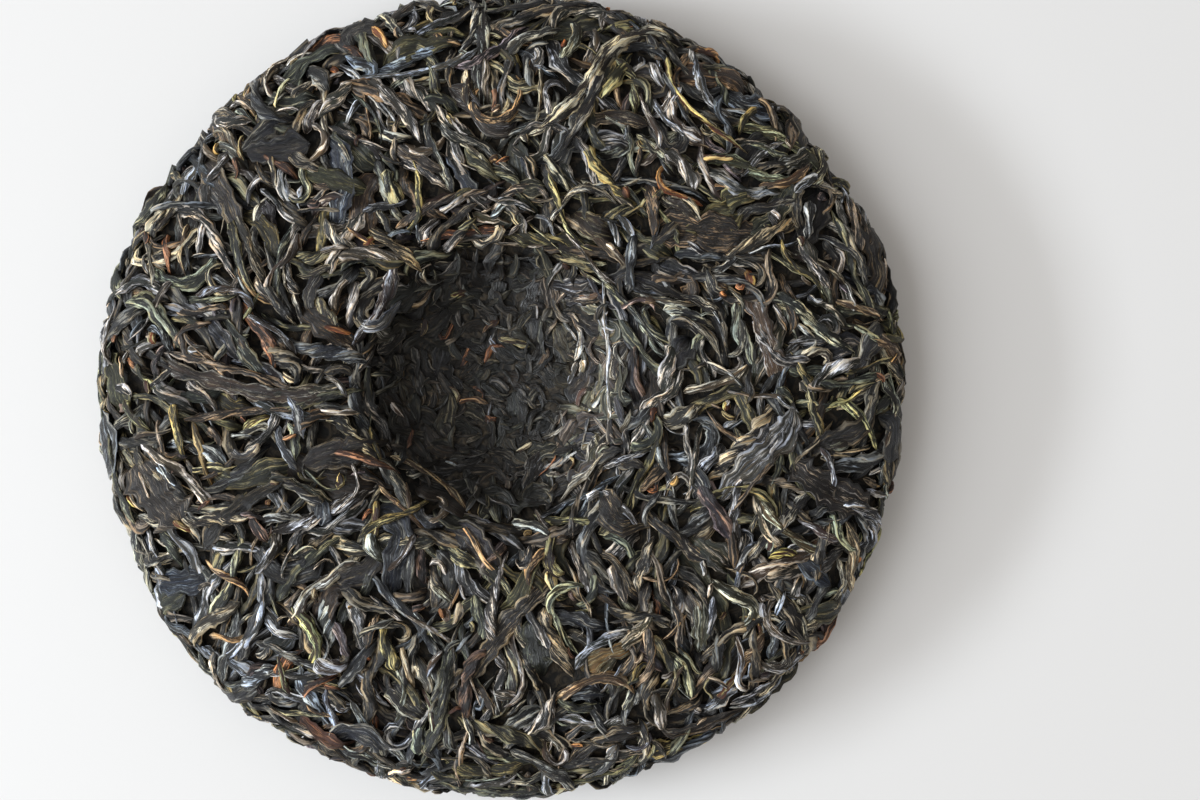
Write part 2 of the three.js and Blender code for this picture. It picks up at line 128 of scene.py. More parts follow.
# The leaves that can be told apart in the photograph, by tone. Each has its width, the place of its middle,
# its heading there in degrees, its length, and how far it turns over its first and its second half.
# Places are as the camera sees them, level with the rim and from the middle of the cake.
SEEN = {
    "green": (
        (5.6, 7.5, 51, 0, 8.5, 0, 0), (3.9, -64, 11, 305, 23, 0, 5), (3.6, -34, 87, 297, 9.5, 0, 0),
        (3.6, -27.5, 51.5, 291, 9.5, 15, 20), (3.6, -15, -78.5, 256, 37.5, -15, -15),
        (3.4, -41.5, 73.5, 227, 12.5, 0, 0), (3.4, 76.5, 18.5, 315, 28.5, -25, 20),
        (3.2, -95.5, 29, 271, 11.5, 25, 30), (3.2, 41, 6, 260, 13, 5, 5), (2.9, -68, 68, 1, 11, 15, 15),
        (2.4, 13.5, 55.5, 303, 14.5, -10, -5), (2.4, -65.5, 35, 283, 24, -10, 25),
        (2.4, 87.5, 3.5, 15, 17.5, 25, 15), (2.4, -96, -20.5, 279, 25, -10, 20),
    ),
    "dark": (
        (7.3, 82, -23.5, 335, 24, 25, 5), (7.3, -55.5, 61, 9, 16, 15, 5), (5.8, -23, -76.5, 319, 13.5, 5, 5),
        (4.9, 85, -10, 17, 23.5, -5, 55), (4.9, 72.5, -55.5, 303, 12.5, -10, -10),
        (4.9, 1.5, -56.5, 231, 40, 10, 10), (4.4, 27.5, 63.5, 358, 11, -25, -40),
        (4.1, -47.5, 25.5, 250, 12, 20, 45), (4.1, -65.5, -28, 35, 27, -30, -10),
        (3.4, 20.5, 70.5, 241, 22.5, -15, 0), (3.4, 73, 68, 299, 16, -25, -30),
        (2.7, 10.5, 95.5, 14, 21.5, 0, -10), (2.7, -55, 22.5, 305, 13.5, 0, 0),
        (2.4, 78, 31, 311, 16, 15, -20),
    ),
    "blue": (
        (7.0, -79, -46, 3, 12.5, 5, 10), (4.9, 43.5, 30.5, 345, 11.5, 15, 10),
        (4.6, -44.5, -29, 264, 6.5, 0, 0), (4.4, -69.5, 14, 308, 13.5, -5, -10),
        (4.1, -10, 55, 297, 13.5, 5, 15), (4.1, 77.5, -44, 321, 11, 15, 5),
        (3.6, -45.5, 79.5, 304, 9.5, -55, -20), (2.7, -60.5, 72.5, 302, 17.5, 60, 60),
        (2.4, -72.5, 41.5, 296, 33, -110, 0), (2.4, -84, 15, 299, 12, -90, -10),
        (2.4, 32, 33.5, 265, 18.5, 20, -5), (2.4, -83.5, -19, 310, 11.5, -5, -5),
        (2.4, 34, -5, 33, 9, 0, 30), (2.4, 10, -80.5, 50, 15.5, 25, 30),
        (2.4, 53.5, -64.5, 267, 13, 25, 5), (2.2, -11.5, 37.5, 52, 11, -15, -50),
        (2.2, 76, 43.5, 264, 10, 0, 10), (1.9, -80, 47.5, 2, 22.5, -20, -10),
        (1.7, -36, 63.5, 337, 19, 10, 15), (1.7, 54.5, 69, 309, 13.5, 90, 20),
        (1.5, 37, -26, 43, 13, -70, 40), (1.2, 43.5, 73, 296, 19, 0, 30),
    ),
    "brown": (
        (1.8, -14, 3, 303, 8, 0, 0), (1.2, -20.7, 7.2, 250, 7, -90, 40),
        (10.7, -86, -25, 309, 19.5, 20, 5), (8.7, 53, 40.5, 353, 30.5, -8, 12),
        (5.8, 53.5, 80, 351, 25, -20, -40),
        (4.9, -42.5, 16, 329, 19, 20, -5), (4.1, 29, 69, 355, 15, -25, -20),
        (3.9, -66, 2, 347, 56.5, 20, 20), (3.6, 23, 80, 245, 56, 95, -55),
        (2.9, 37.5, 45.5, 277, 15.5, 5, -20), (2.2, -64.5, -4, 8, 28.5, 0, -15),
        (2.2, 37, -64.5, 272, 20, -30, -50), (1.9, -68.5, 7, 346, 38.5, 0, -10),
        (1.9, 19.5, -42.5, 292, 18, 5, -5), (1.7, -74, 21, 21, 19.5, 70, -25),
        (1.5, 63, -21, 52, 22.5, 0, -10),
    ),
    "purple": (
        (3.6, 53, -28, 302, 17.5, 10, -15), (2.9, -60.5, -33.5, 305, 7.5, 5, 5),
        (2.7, 33, 6.5, 275, 14, 0, 0), (2.7, -9, -72, 267, 21.5, 55, 5),
    ),
    "olive": (
        (5.8, -21, 87, 9, 20, -30, 0), (4.9, 58.5, 49, 15, 8.5, 0, 0), (4.6, -41, 53.5, 341, 19, -5, 0),
        (4.4, 49.5, -56.5, 270, 16, -5, -5), (4.1, 74, 59, 33, 12, 30, 15),
        (3.6, -31.5, -37.5, 301, 9, 25, 60), (3.4, 82.5, 6.5, 28, 19, -35, -25),
        (3.2, 18, 87.5, 237, 13, -55, -15), (3.2, -80.5, -9.5, 279, 16, -5, 0),
        (3.2, -28.5, -62.5, 290, 12.5, 15, 5), (2.4, 27.5, 78, 234, 12, 5, 5),
        (1.9, 60.5, 69, 236, 7.5, 25, 40), (1.9, -26.5, -29, 17, 21, -35, 25),
        (1.9, 12.5, -54, 292, 29, 145, 25), (1.5, 15, 43, 286, 25, 0, 55),
        (1.5, 74.5, 31, 334, 19.5, 60, -60), (1.5, 89.5, 16, 330, 9.5, -10, -5),
        (1.2, -31, -11.5, 285, 9.5, 5, 15),
    ),
    "pale": (
        (1.0, 26.3, 9.9, 272, 36, -10, -3), (1.4, 20.2, -19, 42, 17, 18, 20),
        (1.2, 17.5, 5.5, 250, 6, 0, 0), (2.4, 11.1, 19.3, 60, 4, 0, 0),
        (6.6, 65, -14.5, 36, 31.5, -20, 50), (3.6, 45.5, 56.5, 308, 12.5, -40, -25),
        (3.6, -32, 34.5, 354, 17, -20, -35), (3.4, -26, 72.5, 314, 23, -25, -25),
        (3.4, -73, -56, 30, 19.5, -70, 0), (3.2, 7, 89, 18, 19, -30, 5), (3.2, 64, 39, 27, 22, 0, 0),
        (2.9, -26.5, 36, 320, 20, 5, -10), (2.9, 39, -78, 284, 11, 0, 0),
        (2.4, 38, 79.5, 304, 8.5, 30, 25), (2.4, 75, 53, 37, 7.5, -20, -15),
        (2.4, -12, 46.5, 34, 8, 5, 10), (2.4, -79.5, -19.5, 323, 27.5, 5, -35),
        (2.2, -70.5, 57, 241, 9.5, -10, -10), (2.2, -62.5, 36.5, 291, 26, -5, 5),
        (1.9, -4, 79.5, 266, 14.5, -20, 15), (1.9, 30.5, 42.5, 305, 9.5, -15, -20),
        (1.9, 69, 19.5, 294, 8, -5, -5), (1.9, -32, -57.5, 22, 12.5, -25, 0),
        (1.7, -22, 80.5, 8, 36, 10, 25), (1.7, 28, 40, 291, 11, -10, -10),
        (1.7, -62.5, -60, 50, 21.5, 30, 45), (1.5, -79, 53.5, 352, 11, -85, -50),
        (1.5, 41, 68, 324, 15, 60, 0), (1.0, -38, 59, 288, 11.5, -40, 55),
    ),
    "silver": (
        (3.6, -60.5, -69.5, 29, 10.5, 0, 0), (2.9, 29, -46.5, 289, 10.5, 0, 0),
        (2.7, -29.5, 17.5, 35, 14, 90, 25), (2.4, -37, 22, 260, 12, -30, 10),
        (2.2, -64, -15, 8, 10, 100, 65), (2.2, -54, -13.5, 302, 13, 30, -5),
        (2.2, 9, -57.5, 306, 13, 10, -20), (1.9, -11, -54.5, 252, 7.5, -20, -15),
        (1.9, 52, -56, 263, 12, -5, 0), (1.7, 77.5, 23.5, 327, 4.5, 25, 80),
        (1.7, 77.5, -7, 359, 6.5, -15, -15), (1.7, 59.5, -41, 79, 15, -5, -75),
        (1.2, 12, 41, 283, 11, -110, 25),
    ),
    "cream": (
        (2.2, -18.5, 60.5, 16, 14.5, 75, 70), (2.2, -75.5, 11.5, 0, 4.5, 0, 0),
        (2.2, -41.5, 36.5, 9, 7.5, -10, -25), (2.2, 53.5, 3, 16, 17.5, 5, 30),
        (2.2, -57, -39, 238, 13.5, -65, -15), (1.9, -40.5, 25.5, 242, 12.5, 45, 50),
        (1.9, 22.5, -23.5, 34, 3.5, 0, 0), (1.9, 30, -27, 320, 13.5, 5, -35),
        (1.9, 67.5, -58.5, 320, 22, 135, 45), (1.7, -65.5, 73.5, 354, 8.5, -65, -50),
        (1.7, -44.5, 61.5, 239, 16, -115, -40), (1.7, 25, 93.5, 265, 6, 0, 0),
        (1.7, 23.5, 88, 273, 7, -15, -35), (1.7, 41, 23, 350, 17, 0, 15),
        (1.7, -14, -27, 59, 10, 55, 125), (1.7, -23.5, -67, 283, 12.5, -25, 0),
        (1.5, -68, 65, 298, 11.5, -115, -10), (1.5, -73, 60.5, 320, 6, 40, 20),
        (1.5, -40.5, 3, 316, 8, -40, -20), (1.5, -40, -4, 359, 14, 10, 10),
        (1.5, -14.5, -41.5, 278, 9, -155, 45), (1.5, 27.5, -88.5, 235, 4, 0, 0),
        (1.2, -37, 71, 243, 9, 15, 10), (1.2, -98, 14, 251, 20.5, -20, 90),
        (1.2, 21, 33, 304, 25.5, -25, 25), (1.2, 84, 32.5, 250, 10.5, -80, -20),
        (1.2, -54.5, -79, 323, 11.5, -55, 0), (1.2, 70, -68.5, 15, 15.5, 90, 45),
        (1.0, -6, 60, 317, 12.5, -30, -75), (1.0, 9.5, 74.5, 268, 17.5, 0, -15),
        (1.0, -87.5, 34.5, 102, 14.5, 10, -75), (0.7, -88.5, -23, 295, 15, -5, -5),
    ),
    "tan": (
        (1.6, -1.8, 12, 290, 5, 0, 0), (1.2, 13, -18.5, 0, 3.2, 0, 0), (1.6, -25.6, -3.2, 310, 5, 0, 0),
        (5.1, 65.5, 14.5, 289, 27, 5, 5), (3.6, -42.5, -67, 354, 8.5, 30, 35),
        (2.2, -8.5, 76, 272, 11, -5, -10), (2.2, 71, 53, 21, 14, 35, 35),
        (2.2, 79, 11, 1, 11, -30, -165), (2.2, 22.5, -70.5, 20, 25.5, -30, -85),
        (1.9, -1, 68, 14, 29, 165, 110), (1.9, 67, 70.5, 300, 14.5, -30, -40),
        (1.9, -69, 26.5, 0, 19, -45, -70), (1.9, -16, -19.5, 325, 25, -15, -10),
        (1.9, 7, -41.5, 240, 12.5, 15, 75), (1.9, -3.5, -76, 294, 11, -20, -5),
        (1.9, 12.5, -91, 316, 16, 65, 250), (1.7, 38.5, 65.5, 299, 28, 15, -160),
        (1.7, -84.5, 25, 243, 14, 45, 30), (1.7, -55.5, 32, 214, 20, -50, 95),
        (1.7, 88.5, 21.5, 341, 17, 0, 5), (1.7, -25, -39.5, 50, 14.5, 30, 25),
        (1.7, 5, -68, 291, 24, 5, -95), (1.5, -57.5, 81, 223, 19.5, 10, 140),
        (1.5, -56.5, 16.5, 328, 17, -15, -35), (1.5, -67.5, -60, 339, 10.5, -30, 70),
        (1.5, -17.5, -67, 244, 9, 20, 20), (1.5, 59, -68.5, 247, 21, -60, 150),
        (1.2, -79.5, 37, 253, 15, -20, 45), (1.2, 4, 40.5, 218, 10, 5, 35),
        (1.2, -87, -9.5, 354, 14, -70, 55), (1.2, -23, -24, 274, 8, 0, 0),
        (1.2, -6, -36.5, 296, 22, -10, 30), (1.2, 96, -10.5, 254, 7.5, 0, 5),
        (1.2, -44.5, -79, 344, 9.5, 20, 10), (1.0, -33.5, 70.5, 277, 14, -5, 0),
    ),
    "gold": (
        (4.1, 26.5, -64, 19, 16.5, -30, -5), (2.4, -14.5, -48.5, 320, 7, -10, -15),
        (2.2, -91.5, -5.5, 315, 11, 15, 10), (2.2, 71, -34, 322, 27, 30, 20),
        (1.9, -61, -6.5, 27, 9, -15, -20), (1.7, -74.5, -14.5, 284, 17, -5, 0),
    ),
    "rust": (
        (2.2, -10.4, 24.2, 10, 4.5, 0, 0), (1.5, 3.2, 13, 345, 9, -10, 0), (1.6, -22.7, -9.9, 75, 5, 0, 0),
        (4.1, -44, -85, 332, 16, 25, 20), (1.7, -83, 35, 275, 12, -25, -10),
        (1.7, -33.5, -15, 341, 19, -20, 0), (1.5, -66, 56.5, 289, 8.5, 5, -105),
        (1.5, -12, 68, 319, 5.5, 20, 10), (1.5, 48, 70, 324, 33, 55, 0), (1.5, 53.5, 59, 0, 9, 0, 0),
        (1.5, -35, 39, 323, 9, 5, 5), (1.5, -67.5, -45, 339, 15.5, 20, -50),
        (1.5, -54, -70, 284, 15.5, -5, 30), (1.5, -46.5, -71.5, 207, 11.5, 20, 65),
        (1.2, -65.5, 62, 268, 7, 10, 35), (1.2, -1.5, 73.5, 271, 7, -25, -40),
        (1.2, -17.5, -79, 281, 13, -25, -25), (1.0, 63, -56, 315, 8, -80, -55),
    ),
    "orange": (
        (1.9, -30, 89.5, 305, 8, -15, -15), (1.9, 61.5, 29, 287, 5, 0, 0), (1.9, -15, -54, 293, 3, 0, 0),
        (1.9, 56, -73, 234, 9, 5, 0), (1.7, -79.5, -32.5, 329, 6.5, 15, 20),
        (1.7, 70, -39, 11, 8, -25, -45), (1.5, 41.5, 50.5, 345, 18, 140, -15),
        (1.5, -41, 16, 344, 10, -5, 0),
    ),
    "pink": (
        (2.0, 19, 0, 255, 6, 60, 10),
        (2.7, -39.5, -61, 288, 10.5, -10, -5), (2.4, 79.5, -34, 319, 14, -25, 50),
        (2.2, -87.5, 14.5, 0, 1.5, 0, 0), (1.5, 33.5, 23, 19, 11.5, -20, -100),
        (1.5, 82, -18, 283, 12, -35, -5), (1.5, 35, -87.5, 23, 8, 30, 70),
    ),
}


def smoothstep(x, low, high):
    t = np.clip((x - low) / (high - low), 0, 1)
    return t * t * (3 - 2 * t)


def evenly_spaced(knots, step):
    """A smooth curve through the knots, as points a step apart."""
    knots = np.array(knots, float)
    padded = np.vstack([knots[:1], knots, knots[-1:]])
    t = np.linspace(0, 1, 40, endpoint=False)[:, None]
    dense = []
    for p0, p1, p2, p3 in zip(padded, padded[1:], padded[2:], padded[3:]):
        v0 = (p2 - p0) / 2
        v1 = (p3 - p1) / 2
        dense.append((2 * p1 - 2 * p2 + v0 + v1) * t ** 3 + (3 * p2 - 3 * p1 - 2 * v0 - v1) * t ** 2 + v0 * t + p1)
    dense = np.vstack(dense + [knots[-1:]])
    run = np.r_[0, np.cumsum(np.hypot(*np.diff(dense, axis=0).T))]
    even = np.linspace(0, run[-1], int(run[-1] / step) + 1)
    return np.c_[np.interp(even, run, dense[:, 0]), np.interp(even, run, dense[:, 1])]


def pit_base(distance):
    return PIT_BASE * (1 - smoothstep(distance, *PIT_EDGE))


def under_base(distance):
    return UNDER_BASE * (1 - smoothstep(distance, *UNDER_EDGE))


class Side:
    """One side of the cake as a flat disc: a point's distance from the disc's middle is its radius on the cake,
    and past the turning radius the way along the outside. Heights of the pile are kept in square cells."""

    def __init__(self, profile, turning, reach, hand, edge):
        out = np.gradient(profile, axis=0)
        out = np.c_[-out[:, 1], out[:, 0]] * hand
        out /= np.hypot(*out.T)[:, None]
        run = np.r_[0, np.cumsum(np.hypot(*np.diff(profile, axis=0).T))]
        turn = int(np.argmax(profile[:, 0] >= turning))
        self.distance = np.where(np.arange(len(run)) < turn, profile[:, 0], turning + run - run[turn])
        self.profile = profile
        self.out = out
        self.reach = reach
        self.hand = hand
        self.edge = edge
        self.half = reach + 26
        cells = int(2 * self.half / CELL)
        middle = (np.arange(cells) + 0.5) * CELL - self.half
        distance = np.hypot(middle[:, None], middle[None, :])
        self.pile = pit_base(distance) if hand > 0 else under_base(distance)

    def place(self, q):
        """The places on the outside for points of the disc, and the directions that face out there."""
        distance = np.hypot(q[:, 0], q[:, 1])
        way = q / np.maximum(distance, 1e-6)[:, None]
        radius = np.interp(distance, self.distance, self.profile[:, 0])
        height = np.interp(distance, self.distance, self.profile[:, 1])
        out = np.c_[
            way * np.interp(distance, self.distance, self.out[:, 0])[:, None],
            np.interp(distance, self.distance, self.out[:, 1]),
        ]
        out /= np.linalg.norm(out, axis=1)[:, None]
        return np.c_[way * radius[:, None], height], out

    def cells(self, q):
        index = ((q + self.half) / CELL).astype(int)
        return tuple(np.moveaxis(np.clip(index, 0, len(self.pile) - 1), -1, 0))


profile = evenly_spaced(OUTSIDE, OUTSIDE_STEP)
flat_part = np.c_[np.arange(0, FLAT_RADIUS, OUTSIDE_STEP), np.zeros(int(FLAT_RADIUS / OUTSIDE_STEP))]
widest = int(np.argmax(profile[:, 0]))
UPPER = Side(profile[::-1][: len(profile) - 20], 80, 118, 1, (115, 127))
LOWER = Side(np.vstack([flat_part, profile[: widest + 40]]), 86, 96, -1, (97, 105))


def under_eye(x, y):
    """Carries points seen from the camera down to the upper side, as points of its disc."""
    upper = profile[widest:][::-1]
    place_x, place_y = x.copy(), y.copy()
    for _ in range(4):
        radius = np.hypot(place_x, place_y)
        height = np.interp(radius, upper[:, 0], upper[:, 1])
        nearer = (EYE[2] - height) / (EYE[2] - WIDEST_HEIGHT)
        inner = 1 - smoothstep(radius, MOUTH_RADIUS, CREST_RADIUS)
        place_x = EYE[0] + (x - EYE[0]) * nearer - inner * DIMPLE_SHIFT[0]
        place_y = EYE[1] + (y - EYE[1]) * nearer - inner * DIMPLE_SHIFT[1]
    radius = np.hypot(place_x, place_y)
    near = int(np.argmax(UPPER.profile[:, 0])) + 1
    distance = np.interp(radius, UPPER.profile[:near, 0], UPPER.distance[:near])
    return np.c_[place_x, place_y] * (distance / np.maximum(radius, 1e-6))[:, None]


def flatness(side, distance):
    """How thick leaves stay at a distance from the middle: in the dimple they are pressed flatter."""
    return 1 - PIT_FLATNESS * (1 - smoothstep(distance, *PIT_EDGE)) * (side is UPPER)


def shift_from_round(points):
    """Moves points of the evenly round cake to where the real, slightly uneven one has them."""
    radius = np.hypot(points[:, 0], points[:, 1])
    angle = np.arctan2(points[:, 1], points[:, 0])
    in_dimple = (1 - smoothstep(radius, MOUTH_RADIUS, CREST_RADIUS)) * smoothstep(points[:, 2], 4, 10)
    near_rim = smoothstep(radius, CREST_RADIUS, CAKE_RADIUS)
    swell = sum(high * np.cos(count * (angle - math.radians(crest))) for count, high, crest in SWELLS)
    scale = 1 + near_rim * swell / CAKE_RADIUS - 0.7 * np.maximum(radius / FARTHEST - 1, 0)
    return np.c_[
        points[:, 0] * scale + in_dimple * DIMPLE_SHIFT[0],
        points[:, 1] * scale * (1 + (DIMPLE_STRETCH - 1) * in_dimple) + in_dimple * DIMPLE_SHIFT[1],
        FLAT_SOFTNESS * np.logaddexp(0, points[:, 2] / FLAT_SOFTNESS),
    ]


def pressed(height):
    """How high a pile of loose leaves stands once it is pressed."""
    return PRESS * (1 - np.exp(-height / PRESS))


def linear(srgb):
    c = np.array(srgb, float) / 255
    return np.where(c <= 0.04045, c / 12.92, ((c + 0.055) / 1.055) ** 2.4)


def ridge(x):
    """A wave with sharp crests and round hollows, between -1 and 1."""
    return 1 - 2 * np.abs(np.sin(x / 2)) ** 0.8


class Leaf:
    """A leaf's course over one side of the cake, its section and its tone."""

    def __init__(self, side, course, width, form, tone, draw):
        self.side = side
        self.course = course
        self.width = width
        self.form = form
        self.tone = tone
        self.draw = draw
        self.length = float(np.hypot(*np.diff(course, axis=0).T).sum())
        self.thickness = FORMS[form]["thickness"](width)

    def taper(self, share):
        """The leaf's width along it, as a share of its full width."""
        blunt = self.blunt
        return np.clip(share / blunt[0], 0.02, 1) ** blunt[1] * np.clip((1 - share) / blunt[2], 0.02, 1) ** blunt[3]

    def lay(self):
        """Lays the leaf on the pile: finds the heights that carry it and raises the pile under it."""
        steps = max(int(self.length / 0.4), 6)
        share = np.linspace(0, 1, steps)
        along = np.linspace(0, 1, len(self.course))
        spine = np.c_[np.interp(share, along, self.course[:, 0]), np.interp(share, along, self.course[:, 1])]
        ahead = np.gradient(spine, axis=0)
        ahead /= np.maximum(np.hypot(*ahead.T), 1e-9)[:, None]
        across = np.c_[ahead[:, 1], -ahead[:, 0]] * self.side.hand
        offsets = np.linspace(-1, 1, max(int(self.width / 0.45) | 1, 3))
        taper = self.taper(share)
        reach = offsets[None, :] * (self.width / 2 * taper)[:, None]
        cells = self.side.cells(spine[:, None, :] + across[:, None, :] * reach[:, :, None])
        under = self.side.pile[cells]
        carried = 0.55 * under.max(axis=1) + 0.45 * under.mean(axis=1)
        spread = np.exp(-0.5 * (np.arange(-9, 10) * 0.4 / FORMS[self.form]["stiffness"]) ** 2)
        padded = np.pad(carried, 9, mode="edge")
        carried = np.convolve(padded, spread / spread.sum(), mode="valid")
        flat = flatness(self.side, np.hypot(spine[:, 0], spine[:, 1]))
        high = self.thickness * np.sqrt(1 - 0.96 * offsets ** 2)[None, :] * (taper ** 0.7 * flat)[:, None]
        np.maximum.at(self.side.pile, cells, carried[:, None] + high)
        self.cells = cells
        self.top = carried[:, None] + high
        self.carried = np.interp(along, share, carried)

    def shows(self):
        """How much of the leaf has nothing over it, or only a little."""
        return float((self.top > self.side.pile[self.cells] - SHOWING_DEPTH).mean())


# Forms: stem, rolled leaf, broad leaf, and the small flat leaves of the dimple. Points round the section, steps along a millimetre, height of the
# folds, and the stiffness over gaps.
FORMS = {
    "stem": dict(round=9, along=0.6, fold=0.24, stiffness=3.5, thickness=lambda width: 0.85 * width),
    "rolled": dict(round=12, along=0.75, fold=0.33, stiffness=2.4, thickness=lambda width: 0.4 + 0.38 * width),
    "broad": dict(round=19, along=0.7, fold=0.19, stiffness=2.0, top=13, thickness=lambda width: 0.9),
    "flake": dict(round=13, along=0.9, fold=0.22, stiffness=2.0, top=9, thickness=lambda width: 0.7),
}


def form_for(width):
    if width < 1.55:
        return "stem"
    return "rolled" if width < 3.7 else "broad"


def arcs(heading, length, turn_before, turn_after, steps, wave=0.0, phase=0.0):
    """A course of two arcs that meet in its middle, which is the origin."""
    t = np.linspace(-1, 1, steps)
    angle = np.radians(heading + np.where(t < 0, turn_before, turn_after) * t)
    angle = angle + wave * (np.sin(2.3 * math.pi * t + phase) + 0.6 * np.sin(7.1 * t - 2 * phase))
    middle = (angle[1:] + angle[:-1]) / 2
    stride = length / (steps - 1)
    x = np.r_[0, np.cumsum(np.cos(middle) * stride)]
    y = np.r_[0, np.cumsum(np.sin(middle) * stride)]
    centre = np.interp(0, t, x), np.interp(0, t, y)
    return np.c_[x - centre[0], y - centre[1]]


def steps_for(length, width, detail=1.0):
    return int(np.clip(round(length * detail * FORMS[form_for(width)]["along"]) + 3, 6, 44))


def give_ends(leaf, rng):
    leaf.sinks = rng.uniform(-0.4, 2.8, 2).clip(0, 0.17 * leaf.length)
    leaf.blunt = (rng.uniform(0.05, 0.2), rng.uniform(0.3, 0.6), rng.uniform(0.08, 0.4), rng.uniform(0.35, 0.9))


SEEN_ROWS = [row for rows in SEEN.values() for row in rows]
SEEN_PLACES = np.array([(x, y) for _, x, y, *_ in SEEN_ROWS], float)
SEEN_HEADINGS = np.radians([heading for _, _, _, heading, *_ in SEEN_ROWS])
SEEN_LENGTHS = np.array([length for _, _, _, _, length, *_ in SEEN_ROWS], float)
FLOW_REACH = 9


def seen_leaves(rng):
    """The leaves that the photograph shows one by one, the broad ones first and the thin ones on top."""
    leaves = []
    for tone, rows in SEEN.items():
        for width, x, y, heading, length, before, after in rows:
            steps = steps_for(length, width)
            course = arcs(heading, length, before, after, steps, 0.05, rng.uniform(0, 6)) + (x, y)
            leaf = Leaf(UPPER, under_eye(course[:, 0], course[:, 1]), width, form_for(width), tone, rng.random(8))
            give_ends(leaf, rng)
            leaves.append(leaf)
    leaves.sort(key=lambda leaf: -leaf.width)
    return leaves


def wander(q):
    """A heading, in radians, that changes slowly over the cake, so that neighbours lie more or less alike."""
    return 1.6 * math.sin(q[0] / 23 + 0.7) + 1.3 * math.cos(q[1] / 19 - 0.4) + math.sin((q[0] + q[1]) / 31 + 2.1)


def flow(q):
    """The mean heading, in radians, of the seen leaves round a place. Opposite headings count as one."""
    nearness = np.exp(-0.5 * ((SEEN_PLACES - q) ** 2).sum(axis=1) / FLOW_REACH ** 2) * SEEN_LENGTHS
    return 0.5 * math.atan2(float(nearness @ np.sin(2 * SEEN_HEADINGS)), float(nearness @ np.cos(2 * SEEN_HEADINGS)))


def drawn_heading(side, q, rng):
    distance = math.hypot(*q)
    round_about = math.atan2(q[1], q[0]) + math.pi / 2
    if rng.random() < 0.45 * float(smoothstep(distance, 84, 97)):
        return math.degrees(round_about + rng.normal(0, 0.45))
    if side is UPPER and 20 < distance < 38 and rng.random() < 0.7:
        return math.degrees(round_about + rng.normal(0, 0.35))
    if side is UPPER:
        return math.degrees(flow(q) + rng.normal(0, 0.8))
    return math.degrees(wander(q) + rng.normal(0, 0.68))


def crosses_mouth(side, course, in_pit):
    """Whether a course runs over the mouth of the dimple, which the leaves there mostly follow."""
    distance = np.hypot(course[:, 0], course[:, 1])
    if in_pit:
        return distance.max() > MOUTH_RADIUS + 2
    return side is UPPER and distance.min() < MOUTH_RADIUS - 2


def drawn_leaf(side, width_range, length_range, tones, rng, tries, detail=1.0, reach=None, form=None):
    """A leaf at a random place; of a few such places, the one where the pile is lowest."""
    width = rng.uniform(*width_range)
    length = rng.uniform(*length_range)
    steps = steps_for(length, width, detail)
    best = None
    for _ in range(tries):
        distance = (reach or side.reach) * math.sqrt(rng.random())
        angle = rng.uniform(0, 2 * math.pi)
        q = (distance * math.cos(angle), distance * math.sin(angle))
        bend = rng.normal(0, 32, 2) + rng.normal(0, 20)
        if rng.random() < 0.3:
            bend[1] *= 3
        course = arcs(drawn_heading(side, q, rng), length, *bend, steps, rng.uniform(0.03, 0.24), rng.uniform(0, 6)) + q
        low = side.pile[side.cells(course)].mean() + 10 * crosses_mouth(side, course, reach is not None)
        low = low + 10 * (np.hypot(course[:, 0], course[:, 1]).max() > side.distance[-1])
        if best is None or low < best[0]:
            best = (low, course)
    leaf = Leaf(side, best[1], width, form or form_for(width), tones[rng.integers(len(tones))], rng.random(8))
    give_ends(leaf, rng)
    return leaf


def lay_all():
    """Lays every leaf: broad ones at the bottom, rolled ones over them, then the seen ones and the last stems."""
    rng = np.random.default_rng(357)
    names = [tone for tone, (_, _, share) in TONES.items() for _ in range(round(share * 200))]
    dull = [tone for tone in names if tone in ("green", "dark", "blue", "brown", "purple", "olive")]
    leaves = []

    def lay(leaf):
        leaf.lay()
        leaves.append(leaf)

    for _ in range(UPPER_BROAD):
        lay(drawn_leaf(UPPER, (4, 8), (18, 38), dull, rng, 4, 0.65))
    for _ in range(UPPER_BROKEN):
        lay(drawn_leaf(UPPER, (1.0, 2.4), (4, 13), names, rng, 12))
    for _ in range(UPPER_ROLLED):
        lay(drawn_leaf(UPPER, (1.5, 3.6), (10, 32), names, rng, 5))
    for _ in range(UPPER_OPEN):
        lay(drawn_leaf(UPPER, (3.7, 7), (10, 24), dull, rng, 6, 0.85))
    for _ in range(UPPER_SMALL):
        lay(drawn_leaf(UPPER, (1.0, 2.6), (6, 17), names, rng, 14))
    for _ in range(PIT_FLAKES):
        lay(drawn_leaf(UPPER, (2.4, 5), (5, 12), PIT_TONES, rng, 6, reach=MOUTH_RADIUS - 2, form="flake"))
    for _ in range(PIT_SMALL):
        lay(drawn_leaf(UPPER, (0.9, 1.9), (3, 9), PIT_TONES + PIT_BITS, rng, 6, reach=MOUTH_RADIUS - 2))
    for leaf in seen_leaves(rng):
        lay(leaf)
    for _ in range(UPPER_STEMS):
        lay(drawn_leaf(UPPER, (0.5, 1.1), (6, 19), names + PALE_TONES, rng, 6))
    for _ in range(UPPER_CRUMBS):
        lay(drawn_leaf(UPPER, (0.9, 1.9), (1.8, 4.5), CRUMB_TONES, rng, 3))
    for _ in range(LOWER_BROAD):
        lay(drawn_leaf(LOWER, (4, 8), (16, 34), dull, rng, 6, 0.45))
    for _ in range(LOWER_BROKEN):
        lay(drawn_leaf(LOWER, (1.2, 2.6), (5, 15), names, rng, 10, 0.7))
    for _ in range(LOWER_ROLLED):
        lay(drawn_leaf(LOWER, (1.9, 3.7), (14, 34), names, rng, 5, 0.6))
    return [leaf for leaf in leaves if leaf.shows() > SHOWING_SHARE]


